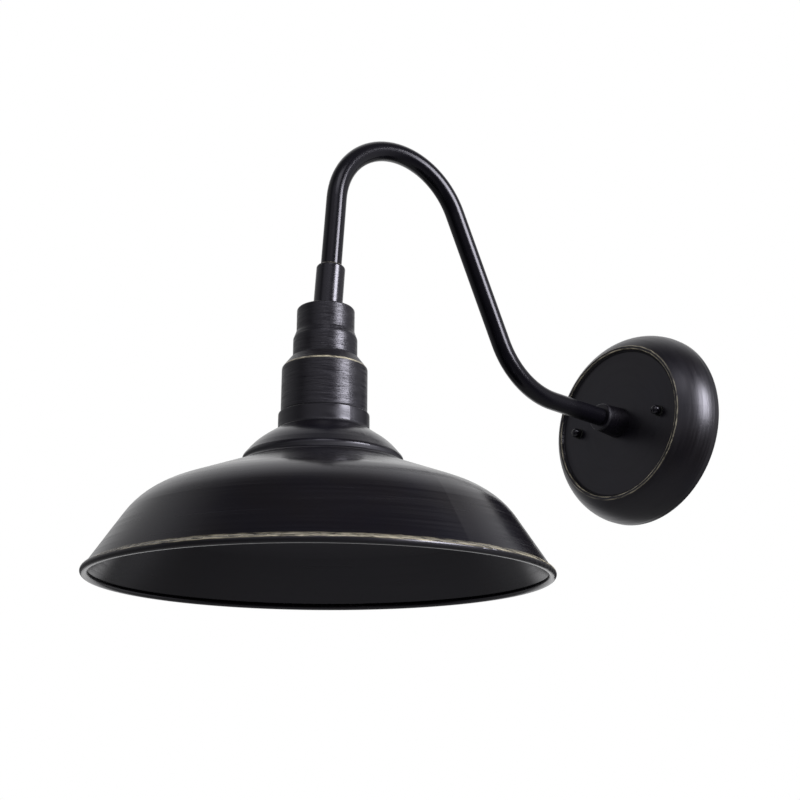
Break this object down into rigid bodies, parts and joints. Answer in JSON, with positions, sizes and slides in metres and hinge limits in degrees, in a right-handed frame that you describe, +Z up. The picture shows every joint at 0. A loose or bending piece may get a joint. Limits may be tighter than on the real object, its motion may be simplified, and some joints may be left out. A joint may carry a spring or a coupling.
{
  "type": "gooseneck wall sconce",
  "caption": "Gooseneck wall sconce: spun metal shade and stepped neck hung from a bent tube arm on a round wall canopy, with a medium screw lampholder inside.",
  "frame": {"origin": "centre of the canopy's open back, in the plane of the wall, on the axis of the arm's hub", "axes": "+Y into the wall along the hub's axis, +Z up, +X along the wall; the arm lies in the plane X = 0"},
  "size_m": [0.3048, 0.4622, 0.3543],
  "materials": {
    "dark_finish": "near-black hand-rubbed satin with brassy edges",
    "zinc_steel": "zinc plated",
    "ground_green": "green plated steel",
    "brass": "plain",
    "nickel": "nickel plated brass",
    "porcelain": "glazed porcelain",
    "rubber": "matte",
    "black_nylon": "matte",
    "black_insulation": "satin",
    "white_insulation": "satin"
  },
  "bodies": {
    "wall_unit": {"mounting_bar": "zinc_steel", "ground_screw": "ground_green", "canopy_stud_left": "zinc_steel", "canopy_stud_right": "zinc_steel", "stud_nut_left": "zinc_steel", "stud_nut_right": "zinc_steel", "canopy": "dark_finish", "canopy_hub": "dark_finish", "canopy_nipple": "zinc_steel", "backing_washer": "zinc_steel", "arm_lock_nut": "zinc_steel", "wire_bushing": "black_nylon", "gooseneck_arm": "dark_finish", "arm_ferrule": "dark_finish", "swivel_nipple": "zinc_steel", "dome_washer": "zinc_steel", "swivel_lock_nut": "zinc_steel", "line_lead": "black_insulation", "neutral_lead": "white_insulation"},
    "left_nut_seat": {"nut_washer_left": "rubber"},
    "left_ball_nut": {"ball_nut_left": "dark_finish"},
    "right_nut_seat": {"nut_washer_right": "rubber"},
    "right_ball_nut": {"ball_nut_right": "dark_finish"},
    "swivel_seat": {"seat_washer": "black_nylon"},
    "head": {"neck": "dark_finish", "shade": "dark_finish", "holder_strap": "zinc_steel", "holder_screws": "zinc_steel", "lampholder": "porcelain", "screw_shell": "brass", "contact_rivet": "brass", "line_terminal_screw": "brass", "neutral_terminal_screw": "nickel"},
    "contact": {"centre_contact": "brass"}
  },
  "joints": [
    {"name": "swivel_sideways", "type": "hinge", "parent": "wall_unit", "child": "swivel_seat", "pos_m": [0, -0.322, -0.0071], "axis": [0, 1, 0], "range_deg": [-3, 3], "deforming": ["line_lead", "neutral_lead"]},
    {"name": "swivel_front", "type": "hinge", "parent": "swivel_seat", "child": "head", "pos_m": [0, -0.322, -0.0071], "axis": [1, 0, 0], "range_deg": [-8, 0.5], "deforming": ["line_lead", "neutral_lead"]},
    {"name": "contact_press", "type": "hinge", "parent": "head", "child": "contact", "pos_m": [0, -0.32754, -0.04977], "axis": [1, 0, 0], "range_deg": [0, 10], "stiffness_Nm_per_rad": 0.15, "springref_deg": -1.72},
    {"name": "left_nut_travel", "type": "slide", "parent": "wall_unit", "child": "left_nut_seat", "axis": [0, -1, 0], "range_m": [0, 0.00397]},
    {"name": "left_nut_turn", "type": "hinge", "parent": "left_nut_seat", "child": "left_ball_nut", "pos_m": [-0.04445, 0, 0], "axis": [0, -1, 0], "range_deg": [0, 1800]},
    {"name": "right_nut_travel", "type": "slide", "parent": "wall_unit", "child": "right_nut_seat", "axis": [0, -1, 0], "range_m": [0, 0.00397]},
    {"name": "right_nut_turn", "type": "hinge", "parent": "right_nut_seat", "child": "right_ball_nut", "pos_m": [0.04445, 0, 0], "axis": [0, -1, 0], "range_deg": [0, 1800]}
  ],
  "couplings": [
    {"joint": "left_nut_turn", "follows": "left_nut_travel", "rad_per_m": 7915.8},
    {"joint": "right_nut_turn", "follows": "right_nut_travel", "rad_per_m": 7915.8}
  ]
}
